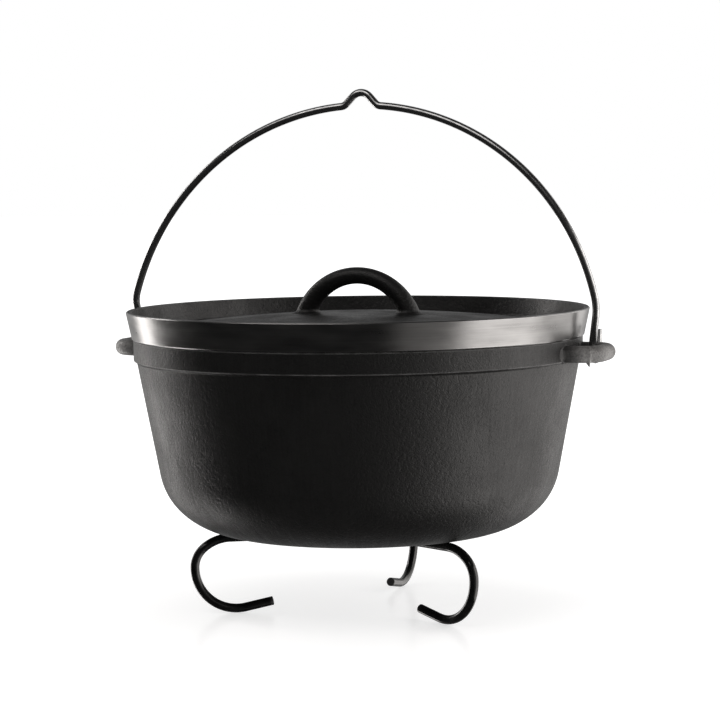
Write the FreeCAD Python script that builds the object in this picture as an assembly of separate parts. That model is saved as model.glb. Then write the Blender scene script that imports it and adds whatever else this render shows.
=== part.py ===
import FreeCAD, Part
import math
import os

# Camp dutch oven: cast pot with two side loops, cast lid with a coal flange,
# wire bail hooked on the loops, and a welded rod trivet under the pot.
# Millimetres, +Z up, the pot's axis on Z, side loops along X, +Y is the back.

# ---- trivet: bent round rod ----
ROD_D = 6.0
TRIVET_H = 54.0
LEG_ANGLES = (90.0, -30.0, -150.0)
LEG_STRAIGHT_PAST_FLAT = 5.1
LEG_SHOULDER_R = 28.0
LEG_SHOULDER_TURN = 40.0
LEG_KNEE_R = 17.0
LEG_FOOT_SLOPE = 11.0
LEG_TIP_LENGTH = 19.0
HUB_D = 24.0
HUB_T = 5.0
HUB_DROP = 0.5
HUB_COPE = 1.0
WELD_PROUD = 0.9
WELD_REACH = 0.6

# ---- pot: drafted bowl under a rim band ----
POT_H = 130.4
BAND_R = 150.3
BAND_H = 15.4
STEP_W = 2.2
STEP_RISE = 1.5
WALL_DRAFT = 10.6
WALL_T = 4.5
LOWER_BEND_R = 54.2
LOWER_BEND_TURN = 43.0
UPPER_BEND_R = 44.9
RIM_CHAMFER = 0.8

# ---- side loops, cast with the pot ----
LOOP_BAR_D = 11.0
LOOP_HOLE_REACH = 13.7
LOOP_HOLE_W = 27.0
LOOP_CORNER_R = 13.0
LOOP_TOP_GAP = 3.5
LOOP_FILLET = 2.5
HOOK_NECK_D = 8.0
HOOK_NECK_SIDE_GAP = 1.5
HOOK_NECK_TOP_CUT = 0.5

# ---- lid ----
LID_FLANGE_H = 18.5
LID_FLARE = 3.6
LID_FOOT_OVERHANG = 1.1
LIP_W = 3.8
FLANGE_INNER_LEAN = 3.4
DOME_APEX_H = 15.6
DOME_DROP = 11.0
PLATE_T = 5.0
LID_EDGE_CHAMFER = 0.7
SKIRT_DEPTH = 3.5
SKIRT_W = 4.0
SKIRT_GAP = 1.0

# ---- lid handle, cast with the lid ----
HANDLE_OUTER_R = 47.0
HANDLE_RISE = 30.3
HANDLE_TOP_D = 11.2
HANDLE_FOOT_D = 16.0
HANDLE_END_ANGLE = 80.0
HANDLE_STEPS = 8
HANDLE_ROOT_DEPTH = 2.5

# ---- bail: one bent wire ----
WIRE_D = 5.0
HOOK_CLEARANCE = 0.8
HOOK_END_GAP = 2.6
HOOK_TIP_RISE = 13.0
KNEE_RISE = 5.0
KNEE_R = 9.0
BAIL_LEAN = 4.6
ARCH_LEAD = 21.1
BEND_R = 20.0
ARCH_LID_GAP = 7.3
ARCH_CENTRE_DROP = 15.5
ARCH_FOOT_ANGLE = 15.0
ARCH_FOOT_RUN = 9.0
HUMP_HALF_W = 11.8
HUMP_SLOPE = 47.0
HUMP_FOOT_R = 6.0
HUMP_TOP_R = 8.0

# ---- places that follow from the sizes above ----
RIM_Z = TRIVET_H + POT_H
STEP_Z = RIM_Z - BAND_H
STEP_R = BAND_R - STEP_W
WALL_SPREAD = math.tan(math.radians(WALL_DRAFT))
LOOP_Z = RIM_Z - LOOP_TOP_GAP - LOOP_BAR_D / 2
HINGE_Z = LOOP_Z + (LOOP_BAR_D - HOOK_NECK_D) / 2 - HOOK_NECK_TOP_CUT
LOOP_REACH = BAND_R + LOOP_HOLE_REACH + LOOP_BAR_D
LOOP_HALF_SPACING = (LOOP_HOLE_W + LOOP_BAR_D) / 2
LID_FOOT_R = BAND_R + LID_FOOT_OVERHANG
LID_R = LID_FOOT_R + LID_FLARE
LID_TOP_Z = RIM_Z + LID_FLANGE_H
DOME_APEX_Z = RIM_Z + DOME_APEX_H
DOME_EDGE_R = LID_R - LIP_W - FLANGE_INNER_LEAN
DOME_SPHERE_R = (DOME_EDGE_R ** 2 + DOME_DROP ** 2) / (2 * DOME_DROP)
HOOK_R = HOOK_NECK_D / 2 + HOOK_CLEARANCE + WIRE_D / 2
HOOK_X = LOOP_REACH - LOOP_BAR_D - HOOK_END_GAP - WIRE_D / 2

AXIS = FreeCAD.Vector(0, 0, 1)
ACROSS = FreeCAD.Vector(1, 0, 0)
ORIGIN = FreeCAD.Vector(0, 0, 0)


def rad(degrees):
    return math.radians(degrees)


def in_xz(x, z):
    return FreeCAD.Vector(x, 0, z)


def arc_edge(centre, radius, angle_from, angle_to):
    """Arc in the XZ plane; angles in degrees from +X towards +Z."""
    points = []
    for share in (0.0, 0.5, 1.0):
        angle = rad(angle_from + (angle_to - angle_from) * share)
        points.append(centre + in_xz(math.cos(angle), math.sin(angle)) * radius)
    return Part.Arc(*points).toShape()


def end_of(edge):
    return edge.Vertexes[-1].Point


def rounded_path(corners, radii):
    """Straight runs joined by tangent arcs; radii has one entry per inner corner."""
    edges = []
    start = corners[0]
    for before, corner, after, radius in zip(corners, corners[1:], corners[2:], radii):
        to_back = (before - corner).normalize()
        to_next = (after - corner).normalize()
        half_angle = to_back.getAngle(to_next) / 2
        run = radius / math.tan(half_angle)
        arc_start = corner + to_back * run
        arc_end = corner + to_next * run
        bisector = (to_back + to_next).normalize()
        arc_middle = corner + bisector * (radius / math.sin(half_angle) - radius)
        if (arc_start - start).Length > 1e-6:
            edges.append(Part.makeLine(start, arc_start))
        edges.append(Part.Arc(arc_start, arc_middle, arc_end).toShape())
        start = arc_end
    edges.append(Part.makeLine(start, corners[-1]))
    return Part.Wire(edges)


def rod_along(path, diameter):
    """Solid round bar swept along a wire."""
    first = path.Edges[0]
    start = first.valueAt(first.FirstParameter)
    heading = first.tangentAt(first.FirstParameter)
    section = Part.Wire(Part.makeCircle(diameter / 2, start, heading))
    sweep = Part.BRepOffsetAPI.MakePipeShell(path)
    sweep.add(section)
    sweep.build()
    sweep.makeSolid()
    return sweep.shape()


def revolved(edges):
    """Turn a closed XZ outline around the Z axis."""
    outline = Part.Wire(Part.__sortEdges__(edges))
    return Part.Face(outline).revolve(ORIGIN, AXIS, 360)


# ---- trivet ----
def leg_profile():
    """Leg centreline in the XZ plane, from the hub outwards, down and back in."""
    rod_z = TRIVET_H - ROD_D / 2
    straight_end = in_xz(flat_radius() + LEG_STRAIGHT_PAST_FLAT, rod_z)
    straight = Part.makeLine(in_xz(HUB_D / 2 - HUB_COPE, rod_z), straight_end)
    shoulder_end_angle = 90 - LEG_SHOULDER_TURN
    shoulder_centre = straight_end - in_xz(0, LEG_SHOULDER_R)
    shoulder = arc_edge(shoulder_centre, LEG_SHOULDER_R, 90, shoulder_end_angle)
    outward = in_xz(math.cos(rad(shoulder_end_angle)), math.sin(rad(shoulder_end_angle)))
    knee_centre = end_of(shoulder) - outward * LEG_KNEE_R
    knee = arc_edge(knee_centre, LEG_KNEE_R, shoulder_end_angle, 0)
    widest = end_of(knee)
    curl_r = widest.z - ROD_D / 2
    curl_centre = widest - in_xz(curl_r, 0)
    curl_end_angle = -90 - LEG_FOOT_SLOPE
    curl = arc_edge(curl_centre, curl_r, 0, curl_end_angle)
    inward = in_xz(-math.cos(rad(LEG_FOOT_SLOPE)), math.sin(rad(LEG_FOOT_SLOPE)))
    tip = Part.makeLine(end_of(curl), end_of(curl) + inward * LEG_TIP_LENGTH)
    return Part.Wire([straight, shoulder, knee, curl, tip])


def make_hub():
    base = FreeCAD.Vector(0, 0, TRIVET_H - HUB_DROP - HUB_T)
    return Part.makeCylinder(HUB_D / 2, HUB_T, base)


def make_leg(angle, hub):
    leg = rod_along(leg_profile(), ROD_D)
    leg.rotate(ORIGIN, AXIS, angle)
    return leg.cut(hub)


def make_weld(angle, hub, leg):
    weld_r = ROD_D / 2 + WELD_PROUD
    centre = in_xz(HUB_D / 2 + WELD_REACH, TRIVET_H - HUB_DROP / 2 - weld_r)
    weld = Part.makeSphere(weld_r, centre)
    weld.rotate(ORIGIN, AXIS, angle)
    return weld.cut(hub).cut(leg)


# ---- pot ----
def bend_point(radius, angle):
    """Offset from a bend's centre to its arc, angle in degrees below the horizontal."""
    return in_xz(math.cos(rad(angle)), -math.sin(rad(angle))) * radius


def bend_centres():
    """Centres of the lower and upper bends, for the outside of the bowl."""
    upper_rise = UPPER_BEND_R * (math.cos(rad(LOWER_BEND_TURN)) - math.sin(rad(WALL_DRAFT)))
    lower_rise = LOWER_BEND_R * (1 - math.cos(rad(LOWER_BEND_TURN)))
    wall_foot_z = TRIVET_H + lower_rise + upper_rise
    wall_foot = in_xz(STEP_R - (STEP_Z - wall_foot_z) * WALL_SPREAD, wall_foot_z)
    upper = wall_foot - bend_point(UPPER_BEND_R, WALL_DRAFT)
    joint_angle = 90 - LOWER_BEND_TURN
    lower = upper - bend_point(LOWER_BEND_R - UPPER_BEND_R, joint_angle)
    return lower, upper


def flat_radius():
    """Radius of the flat bottom, what the bends and the wall leave."""
    return bend_centres()[0].x


def bowl_edges(inset, top_z):
    """Bowl outline from the axis to the wall's top, moved inwards by inset."""
    lower_centre, upper_centre = bend_centres()
    floor_z = TRIVET_H + inset
    floor = Part.makeLine(in_xz(0, floor_z), in_xz(lower_centre.x, floor_z))
    joint_angle = LOWER_BEND_TURN - 90
    lower = arc_edge(lower_centre, LOWER_BEND_R - inset, -90, joint_angle)
    upper = arc_edge(upper_centre, UPPER_BEND_R - inset, joint_angle, -WALL_DRAFT)
    wall_foot = end_of(upper)
    wall_top = in_xz(wall_foot.x + (top_z - wall_foot.z) * WALL_SPREAD, top_z)
    return [floor, lower, upper, Part.makeLine(wall_foot, wall_top)]


def loop_path():
    """Centreline of one side loop, out from the wall and back."""
    root_x = BAND_R - WALL_T
    end_x = LOOP_REACH - LOOP_BAR_D / 2
    corners = [
        FreeCAD.Vector(root_x, LOOP_HALF_SPACING, LOOP_Z),
        FreeCAD.Vector(end_x, LOOP_HALF_SPACING, LOOP_Z),
        FreeCAD.Vector(end_x, -LOOP_HALF_SPACING, LOOP_Z),
        FreeCAD.Vector(root_x, -LOOP_HALF_SPACING, LOOP_Z),
    ]
    return rounded_path(corners, [LOOP_CORNER_R, LOOP_CORNER_R])


def loop_root_edges(pot):
    """Edges where the loops' bars meet the band and the step."""
    reach = LOOP_HALF_SPACING + LOOP_BAR_D
    chosen = []
    for edge in pot.Edges:
        near_loop = max(abs(edge.BoundBox.YMin), abs(edge.BoundBox.YMax)) < reach
        if near_loop and edge.Curve.TypeId == "Part::GeomBSplineCurve":
            chosen.append(edge)
    return chosen


def hook_collar():
    """What is cut from a loop's back bar to leave the neck that the bail hooks round."""
    width = WIRE_D + 2 * HOOK_NECK_SIDE_GAP
    start = FreeCAD.Vector(HOOK_X - width / 2, LOOP_HALF_SPACING, HINGE_Z)
    collar = Part.makeCylinder(LOOP_BAR_D, width, start, ACROSS)
    return collar.cut(Part.makeCylinder(HOOK_NECK_D / 2, width, start, ACROSS))


def make_pot():
    outside = bowl_edges(0, STEP_Z)
    inside = bowl_edges(WALL_T, RIM_Z)
    step_foot = end_of(outside[-1])
    mouth_edge = end_of(inside[-1])
    outline = [
        step_foot,
        in_xz(BAND_R, STEP_Z + STEP_RISE),
        in_xz(BAND_R, RIM_Z - RIM_CHAMFER),
        in_xz(BAND_R - RIM_CHAMFER, RIM_Z),
        mouth_edge,
    ]
    rim = [Part.makeLine(a, b) for a, b in zip(outline, outline[1:])]
    axis_edge = Part.makeLine(in_xz(0, TRIVET_H), in_xz(0, TRIVET_H + WALL_T))
    pot = revolved(outside + rim + inside + [axis_edge])
    loops = []
    for turn in (0, 180):
        loop = rod_along(loop_path(), LOOP_BAR_D)
        loop.rotate(ORIGIN, AXIS, turn)
        loops.append(loop)
    closing = [
        Part.makeLine(mouth_edge, in_xz(0, RIM_Z)),
        Part.makeLine(in_xz(0, RIM_Z), in_xz(0, TRIVET_H + WALL_T)),
    ]
    cavity = revolved(inside + closing)
    pot = pot.fuse(loops).cut(cavity).removeSplitter()
    pot = pot.makeFillet(LOOP_FILLET, loop_root_edges(pot))
    right = hook_collar()
    left = right.mirror(ORIGIN, ACROSS)
    return pot.cut([right, left])


# ---- lid ----
def dome_z(radius, sphere_r):
    return DOME_APEX_Z - DOME_SPHERE_R + math.sqrt(sphere_r ** 2 - radius ** 2)


def dome_arc(sphere_r, edge_r):
    """Dome outline from the axis to edge_r."""
    points = [in_xz(r, dome_z(r, sphere_r)) for r in (0, edge_r / 2, edge_r)]
    return Part.Arc(*points).toShape()


def make_lid_body():
    top = dome_arc(DOME_SPHERE_R, DOME_EDGE_R)
    mouth = end_of(bowl_edges(WALL_T, RIM_Z - SKIRT_DEPTH)[-1])
    skirt_r = mouth.x - SKIRT_GAP
    under = dome_arc(DOME_SPHERE_R - PLATE_T, skirt_r - SKIRT_W)
    outline = [
        end_of(top),
        in_xz(LID_R - LIP_W, LID_TOP_Z),
        in_xz(LID_R - LID_EDGE_CHAMFER, LID_TOP_Z),
        in_xz(LID_R, LID_TOP_Z - LID_EDGE_CHAMFER),
        in_xz(LID_FOOT_R, RIM_Z + LID_EDGE_CHAMFER),
        in_xz(LID_FOOT_R - LID_EDGE_CHAMFER, RIM_Z),
        in_xz(skirt_r, RIM_Z),
        in_xz(skirt_r, mouth.z),
        in_xz(skirt_r - SKIRT_W, mouth.z),
        end_of(under),
    ]
    flange = [Part.makeLine(a, b) for a, b in zip(outline, outline[1:])]
    axis_edge = Part.makeLine(in_xz(0, DOME_APEX_Z), in_xz(0, DOME_APEX_Z - PLATE_T))
    return revolved([top] + flange + [under, axis_edge])


def make_handle():
    """Half-ring handle, a loft of circles that thicken towards the feet."""
    ring_centre = in_xz(0, DOME_APEX_Z + HANDLE_RISE - HANDLE_OUTER_R)
    sections = []
    for step in range(HANDLE_STEPS + 1):
        angle = rad(HANDLE_END_ANGLE * (2 * step / HANDLE_STEPS - 1))
        thickening = 1 - math.cos(angle)
        diameter = HANDLE_TOP_D + (HANDLE_FOOT_D - HANDLE_TOP_D) * thickening
        outward = in_xz(math.sin(angle), math.cos(angle))
        along = in_xz(math.cos(angle), -math.sin(angle))
        centre = ring_centre + outward * (HANDLE_OUTER_R - diameter / 2)
        sections.append(Part.Wire(Part.makeCircle(diameter / 2, centre, along)))
    ring = Part.makeLoft(sections, True)
    core_centre = in_xz(0, DOME_APEX_Z - DOME_SPHERE_R)
    core = Part.makeSphere(DOME_SPHERE_R - HANDLE_ROOT_DEPTH, core_centre)
    return ring.cut(core)


def make_lid():
    return make_lid_body().fuse(make_handle()).removeSplitter()


# ---- bail ----
def line_meeting(point_a, heading_a, point_b, heading_b):
    """Where two lines in the XZ plane cross."""
    gap = point_b - point_a
    cross = heading_a.x * heading_b.z - heading_a.z * heading_b.x
    along = (gap.x * heading_b.z - gap.z * heading_b.x) / cross
    return point_a + heading_a * along


def bail_half():
    """Corners and bend radii of the wire's +X half, from hook tip to the hump's top."""
    plane_y = LOOP_HALF_SPACING - HOOK_R
    tip_y = LOOP_HALF_SPACING + HOOK_R
    hook_z = HINGE_Z - HOOK_R
    arch_y = LOOP_HALF_SPACING - ARCH_LEAD
    foot_angle = rad(ARCH_FOOT_ANGLE)
    kink_x = LID_R + ARCH_LID_GAP + WIRE_D / 2
    foot_down = in_xz(math.sin(foot_angle), -math.cos(foot_angle))
    arch_r = (kink_x - ARCH_FOOT_RUN * foot_down.x) / math.cos(foot_angle)
    arch_centre = in_xz(0, RIM_Z - ARCH_CENTRE_DROP)
    foot = arch_centre + in_xz(math.cos(foot_angle), math.sin(foot_angle)) * arch_r
    kink = foot + foot_down * ARCH_FOOT_RUN
    crown_x = HUMP_HALF_W + HUMP_FOOT_R * math.tan(rad(HUMP_SLOPE) / 2)
    crown_angle = math.asin(crown_x / arch_r)
    crown = arch_centre + in_xz(math.sin(crown_angle), math.cos(crown_angle)) * arch_r
    crown_fall = math.tan(crown_angle)
    shoulder = in_xz(HUMP_HALF_W, crown.z + (crown_x - HUMP_HALF_W) * crown_fall)
    hump = in_xz(0, shoulder.z + HUMP_HALF_W * math.tan(rad(HUMP_SLOPE)))
    crown_heading = in_xz(math.cos(crown_angle), -math.sin(crown_angle))
    arch_corner = line_meeting(crown, crown_heading, foot, foot_down)
    in_plane = [kink, arch_corner, shoulder, hump]
    arch = [point + FreeCAD.Vector(0, arch_y, 0) for point in in_plane]
    hook = [
        FreeCAD.Vector(HOOK_X, tip_y, HINGE_Z + HOOK_TIP_RISE),
        FreeCAD.Vector(HOOK_X, tip_y, hook_z),
        FreeCAD.Vector(HOOK_X, plane_y, hook_z),
        FreeCAD.Vector(HOOK_X, plane_y, HINGE_Z + KNEE_RISE),
    ]
    radii = [HOOK_R, HOOK_R, KNEE_R, BEND_R, arch_r, HUMP_FOOT_R, HUMP_TOP_R]
    return hook + arch, radii


def make_bail():
    corners, radii = bail_half()
    mirrored = [FreeCAD.Vector(-point.x, point.y, point.z) for point in corners[-2::-1]]
    path = rounded_path(corners + mirrored, radii + radii[-2::-1])
    bail = rod_along(path, WIRE_D)
    bail.rotate(FreeCAD.Vector(0, LOOP_HALF_SPACING, HINGE_Z), ACROSS, -BAIL_LEAN)
    return bail


def main():
    os.makedirs("parts", exist_ok=True)
    hub = make_hub()
    shapes = {"pot": make_pot(), "lid": make_lid(), "bail": make_bail(), "trivet_hub": hub}
    for number, angle in enumerate(LEG_ANGLES, start=1):
        leg = make_leg(angle, hub)
        shapes["trivet_leg_%d" % number] = leg
        shapes["trivet_weld_%d" % number] = make_weld(angle, hub, leg)
    for name, shape in shapes.items():
        shape.exportStep("parts/%s.step" % name)
        box = shape.optimalBoundingBox()
        print(name, shape.isValid(), len(shape.Solids), round(shape.Volume, 1),
              [round(v, 2) for v in (box.XMin, box.XMax, box.YMin, box.YMax, box.ZMin, box.ZMax)])


main()
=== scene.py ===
"""Looks of a cast iron camp oven: pot, domed lid, wire bail and three-legged rod trivet.

Every surface is a grid worked out with numpy: a profile turned round the Z axis, or a round
section carried along a path. Lengths are in metres, angles in degrees unless a name says so.
"""

import logging
import math
from dataclasses import dataclass, field
from enum import Enum

import bpy
import numpy as np
from mathutils import Matrix, Vector


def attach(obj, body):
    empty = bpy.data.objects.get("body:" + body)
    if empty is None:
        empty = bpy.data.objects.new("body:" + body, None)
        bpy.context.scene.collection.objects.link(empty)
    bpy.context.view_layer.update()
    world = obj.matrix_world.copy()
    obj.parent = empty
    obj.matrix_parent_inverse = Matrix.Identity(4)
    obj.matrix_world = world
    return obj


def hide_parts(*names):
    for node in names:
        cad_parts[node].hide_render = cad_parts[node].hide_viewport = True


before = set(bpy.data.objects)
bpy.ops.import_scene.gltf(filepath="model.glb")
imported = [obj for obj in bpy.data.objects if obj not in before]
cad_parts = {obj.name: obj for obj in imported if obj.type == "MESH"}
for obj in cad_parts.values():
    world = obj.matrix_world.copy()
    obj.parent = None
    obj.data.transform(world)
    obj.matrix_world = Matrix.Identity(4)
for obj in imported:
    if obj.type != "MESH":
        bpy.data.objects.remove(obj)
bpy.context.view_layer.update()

LOG = logging.getLogger("camp_oven")
MM = 0.001
UP = np.array([0.0, 0.0, 1.0])
Array = np.ndarray
Socket = bpy.types.NodeSocket


class Body(Enum):
    """Names of the bodies that pieces ride on."""

    TRIVET = "trivet"
    POT = "pot"
    LID = "lid"
    BAIL = "bail"


class Slot(Enum):
    """Names of the record's material slots."""

    POT_IRON = "cast_iron_pot"
    LID_IRON = "cast_iron_lid"
    WIRE = "steel_wire"
    ROD = "trivet_steel"


# ---------------------------------------------------------------- shapes from arrays


def unit(vectors: Array) -> Array:
    """Vectors scaled to length one, along the last axis."""
    return vectors / np.linalg.norm(vectors, axis=-1, keepdims=True)


def heading(degrees: float) -> Array:
    """Unit vector in the plane, at an angle above the first axis."""
    return np.array([math.cos(math.radians(degrees)), math.sin(math.radians(degrees))])


@dataclass
class Route:
    """A line of points: straight runs joined by tangent arcs.

    Attributes:
        points: The points in order, shape (count, 2) or (count, 3).
        run: For each point, the number of the corner it comes after.
        edge: For each point, 1 on a rounded outer corner and 0 elsewhere.
    """

    points: Array
    run: Array
    edge: Array

    @classmethod
    def rounded(cls, corners: Array, radii: list, step: float, turn_step: float = 7.5,
                hold: float = 0.3 * MM) -> "Route":
        """Rounds a line's corners with arcs.

        An arc of radius R at a corner that turns by t starts R tan(t/2) before it and ends as
        far after it. Its centre is R / cos(t/2) from the corner along the bisector of the two
        runs, and each point is centre + R (cos a * from_centre + sin a * ahead).

        Args:
            corners: Corner points in order, the first and last being the ends.
            radii: Arc radius of each inner corner, or 0 for a plain point.
            step: Longest distance between points on a straight run.
            turn_step: Largest turn between two points on an arc, in degrees.
            hold: Distance from an arc's end of the point that keeps its shading off the run.

        Returns:
            The route, with arcs marked as edges.
        """
        corners = np.asarray(corners, float)
        pieces, runs, edges = [], [], []
        start = corners[0]

        def add(points: Array, number: int, edge: float) -> None:
            """Appends one stretch and its marks.

            Args:
                points: The stretch, in order.
                number: Number of the corner it comes after.
                edge: 1 for an arc, 0 for a run.
            """
            pieces.append(points)
            runs.append(np.full(len(points), number))
            edges.append(np.full(len(points), edge))

        def straight(a: Array, b: Array, number: int) -> None:
            """Points from a up to but not including b, with one held close to each end.

            Args:
                a: Start of the run.
                b: End of the run.
                number: Number of the corner it comes after.
            """
            length = float(np.linalg.norm(b - a))
            if length < 1e-9:
                return
            places = np.linspace(0, length, max(2, int(math.ceil(length / step)) + 1))[:-1]
            if length > 4 * hold:
                places = np.concatenate([places, [hold, length - hold]])
                places = np.unique(np.round(places, 9))
            add(a + (b - a) * (places / length)[:, None], number, 0.0)

        for number, radius in enumerate(radii):
            corner = corners[number + 1]
            back, ahead = unit(corners[number] - corner), unit(corners[number + 2] - corner)
            turn = math.pi - math.acos(float(np.clip(back @ ahead, -1, 1)))
            if radius <= 0 or turn < 1e-6:
                straight(start, corner, number)
                start = corner
                continue
            reach = radius * math.tan(turn / 2)
            first, last = corner + back * reach, corner + ahead * reach
            centre = corner + unit(back + ahead) * radius / math.cos(turn / 2)
            straight(start, first, number)
            count = max(4, int(math.ceil(math.degrees(turn) / turn_step)))
            angles = np.linspace(0, turn, count + 1)[:-1, None]
            from_centre = unit(first - centre)
            add(centre + radius * (np.cos(angles) * from_centre - np.sin(angles) * back),
                number + 1, 1.0)
            start = last
        straight(start, corners[-1], len(radii))
        add(corners[-1:], len(radii), 0.0)
        return cls(np.concatenate(pieces), np.concatenate(runs), np.concatenate(edges))

    def lengths(self) -> Array:
        """Distance of each point from the start, along the route."""
        steps = np.linalg.norm(np.diff(self.points, axis=0), axis=1)
        return np.concatenate([[0.0], np.cumsum(steps)])


@dataclass
class Surface:
    """A closed grid of rings, with a pole at each end.

    Attributes:
        rings: Ring points, shape (rings, around, 3).
        along: Distance of each ring along the profile or path.
        poles: The two closing points, shape (2, 3).
        zone: Material number of each ring.
        wear: Edge amount of each ring, 0 to 1: rubbed wear, and on the pot's step ridge partly a
            painted highlight.
    """

    rings: Array
    along: Array
    poles: Array
    zone: Array
    wear: Array

    @classmethod
    def turned(cls, route: Route, around: int, zone: Array | None = None) -> "Surface":
        """Turns a profile of (radius, height) points round the Z axis.

        Point (i, j) is (r_i cos a_j, r_i sin a_j, z_i), with a_j the j-th of equal angles. The
        profile starts and ends on the axis, and those two points become the poles.

        Args:
            route: The profile, from the axis and back to it.
            around: Number of points in each ring.
            zone: Material number of each profile point, or None for one material.

        Returns:
            The closed surface.
        """
        profile, keep = route.points, slice(1, -1)
        angles = np.arange(around) * 2 * math.pi / around
        radius, height = profile[keep, 0, None], profile[keep, 1, None]
        rings = np.stack([radius * np.cos(angles), radius * np.sin(angles),
                          height + 0 * angles], axis=-1)
        poles = np.array([[0, 0, profile[0, 1]], [0, 0, profile[-1, 1]]])
        zones = np.zeros(len(profile), int) if zone is None else zone
        return cls(rings, route.lengths()[keep], poles, zones[keep], route.edge[keep])

    @classmethod
    def swept(cls, path: Array, radius: Array, reference: Array,
              around: int) -> "Surface":
        """Carries a circle along a path.

        Point (i, j) is c_i + r_i (cos a_j * side_i + sin a_j * lift_i), where side is the
        tangent crossed with the reference and lift is side crossed with the tangent.

        Args:
            path: Centre points, shape (count, 3).
            radius: Radius at each centre point.
            reference: A direction that no tangent is parallel to.
            around: Number of points round the section.

        Returns:
            The closed surface, its poles at the path's ends.
        """
        steps = unit(np.diff(path, axis=0))
        tangent = unit(np.concatenate([steps[:1], steps[:-1] + steps[1:], steps[-1:]]))
        side = unit(np.cross(tangent, reference))
        lift = np.cross(side, tangent)
        angles = np.arange(around)[None, :, None] * 2 * math.pi / around
        turned = np.cos(angles) * side[:, None] + np.sin(angles) * lift[:, None]
        rings = path[:, None] + radius[:, None, None] * turned
        lengths = np.linalg.norm(np.diff(path, axis=0), axis=1)
        along = np.concatenate([[0.0], np.cumsum(lengths)])
        none = np.zeros(len(path))
        return cls(rings, along, path[[0, -1]], none.astype(int), none)

    def faces(self) -> tuple[Array, Array]:
        """Point numbers of the quads between rings, and of the triangles round both poles.

        Returns:
            The quads, shape (count, 4), and the triangles, shape (count, 3).
        """
        count, around = self.rings.shape[:2]
        j = np.arange(around)
        after = (j + 1) % around
        row = np.arange(count - 1)[:, None] * around
        quads = np.stack([row + j, row + after, row + around + after, row + around + j],
                         axis=-1).reshape(-1, 4)
        first_pole, last = count * around, (count - 1) * around
        caps = np.concatenate([
            np.stack([after, j, np.full(around, first_pole)], axis=-1),
            np.stack([last + j, last + after, np.full(around, first_pole + 1)], axis=-1)])
        return quads, caps

    def corner_uvs(self) -> tuple[Array, Array]:
        """UVs of each quad's and each cap's corners: the turn, 0 to 1, and metres along.

        Returns:
            The quads' UVs, shape (count, 4, 2), and the triangles', shape (count, 3, 2).
        """
        around = self.rings.shape[1]
        j = np.arange(around)
        near, far = j / around, (j + 1) / around
        v0, v1 = np.stack([self.along[:-1], self.along[1:]])[:, :, None] + 0 * j
        u0, u1 = near + 0 * v0, far + 0 * v0
        quads = np.stack([np.stack(pair, -1) for pair in
                          ((u0, v0), (u1, v0), (u1, v1), (u0, v1))], axis=2)
        caps = []
        for place, (a, b) in ((self.along[0], (far, near)), (self.along[-1], (near, far))):
            level = place + 0 * near
            caps.append(np.stack([np.stack([u, level], -1) for u in (a, b, (near + far) / 2)],
                                 axis=1))
        return quads.reshape(-1, 4, 2), np.concatenate(caps)

    def mesh(self, name: str) -> bpy.types.Mesh:
        """Puts the grid into a mesh with outward faces, a UV map and an edge_wear_and_highlight attribute.

        The signed volume, a sixth of the sum of a . (b x c) over the triangles, tells which
        way faces point, and all are turned round when it is negative.

        Args:
            name: The mesh's name.

        Returns:
            The smooth-shaded mesh.
        """
        around = self.rings.shape[1]
        points = np.concatenate([self.rings.reshape(-1, 3), self.poles])
        parts = [*self.faces(), *self.corner_uvs()]
        a, b, c, d = np.moveaxis(points[parts[0]], 1, 0)
        volume = (a * np.cross(b, c) + a * np.cross(c, d)).sum()
        a, b, c = np.moveaxis(points[parts[1]], 1, 0)
        volume += (a * np.cross(b, c)).sum()
        if volume < 0:
            parts = [part[:, ::-1] for part in parts]
        quads, caps, quad_uv, cap_uv = parts
        mesh = bpy.data.meshes.new(name)
        mesh.from_pydata(points.tolist(), [], quads.tolist() + caps.tolist())
        uv = mesh.uv_layers.new(name="UVMap")
        uv.data.foreach_set("uv", np.concatenate([quad_uv.ravel(), cap_uv.ravel()]))
        wear = mesh.attributes.new("edge_wear_and_highlight", "FLOAT", "POINT")
        amounts = np.concatenate([np.repeat(self.wear, around), self.wear[[0, -1]]])
        wear.data.foreach_set("value", amounts.astype(np.float32))
        zones = np.repeat(np.concatenate([self.zone[:-1], self.zone[[0, -1]]]), around)
        mesh.polygons.foreach_set("material_index", zones.astype(np.int32))
        mesh.shade_smooth()
        return mesh


def with_rounded_ends(path: Array, radius: float, edge: float,
                      steps: int = 5) -> tuple[Array, Array]:
    """Gives a rod's two ends a small edge round.

    At angle t from 0 to 90 degrees the ring is e (1 - cos t) in from the end and has radius
    r - e + e sin t.

    Args:
        path: Centre points of the rod.
        radius: Radius of the rod.
        edge: Radius of the edge round.
        steps: Number of steps of t.

    Returns:
        The longer path and the radius at each of its points.
    """
    t = np.linspace(0, math.pi / 2, steps + 1)
    inset, ring = edge * (1 - np.cos(t)), radius - edge + edge * np.sin(t)
    start, end = unit(path[1] - path[0]), unit(path[-2] - path[-1])
    away = np.linalg.norm(path - path[0], axis=1) > edge * 1.05
    away &= np.linalg.norm(path - path[-1], axis=1) > edge * 1.05
    middle = path[away]
    points = np.concatenate([path[0] + inset[:, None] * start, middle,
                             (path[-1] + inset[:, None] * end)[::-1]])
    return points, np.concatenate([ring, np.full(len(middle), radius), ring[::-1]])


# ---------------------------------------------------------------- finishes


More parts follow.
